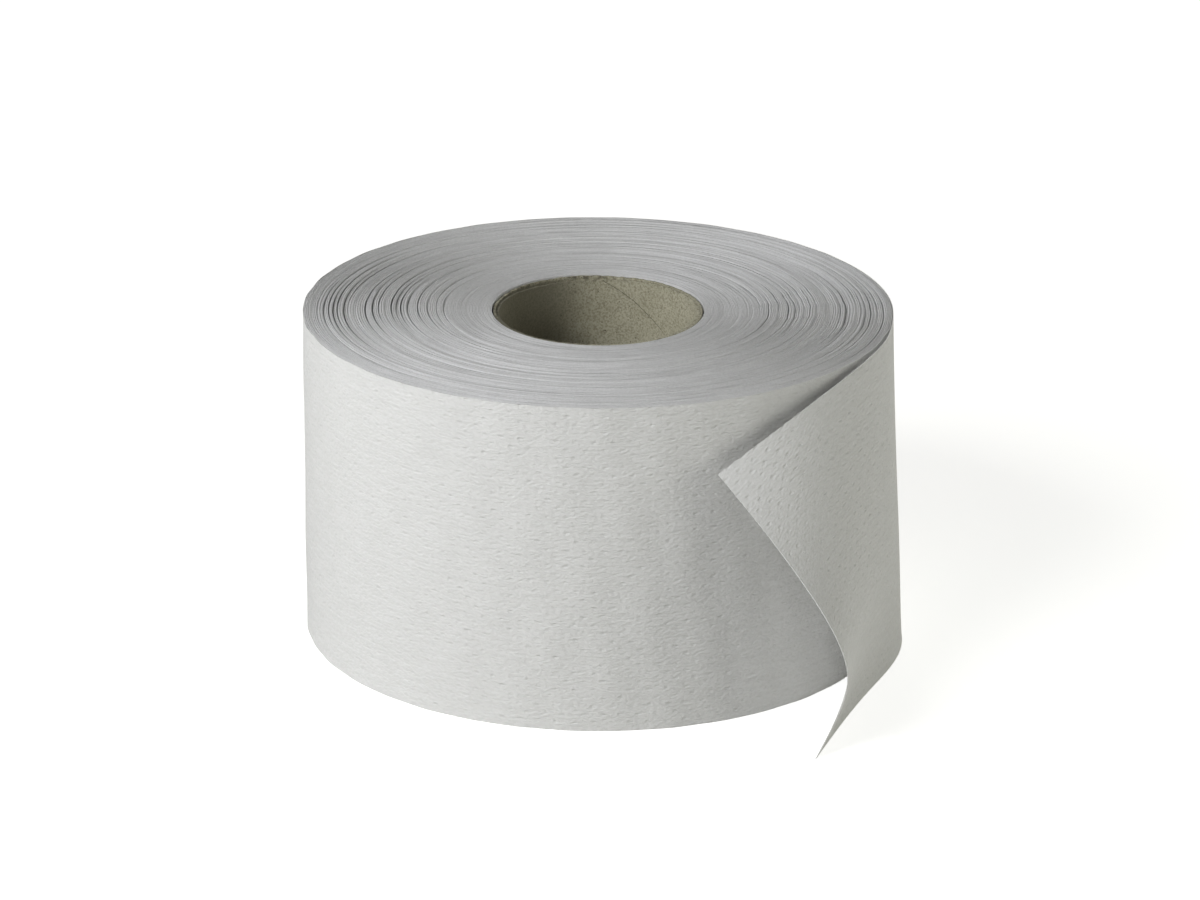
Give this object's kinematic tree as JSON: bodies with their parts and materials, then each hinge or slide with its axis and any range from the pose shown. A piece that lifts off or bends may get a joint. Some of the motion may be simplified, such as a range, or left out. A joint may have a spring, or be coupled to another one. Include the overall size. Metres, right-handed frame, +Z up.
{
  "type": "toilet paper roll",
  "caption": "Large toilet paper roll standing on its end, wound on a cardboard core, with its loose end hanging off the side.",
  "frame": {"origin": "on the roll's axis, in the plane that the roll stands on", "axes": "+Z up along the roll's axis, -Y towards the front where the loose end comes forward, +X towards the side where the loose end leaves the roll"},
  "size_m": [0.174, 0.1922, 0.0961],
  "materials": {
    "paper": "soft embossed matte",
    "cardboard": "matte"
  },
  "bodies": {
    "root": {"paper_roll": "paper", "core_tube": "cardboard"}
  },
  "joints": []
}
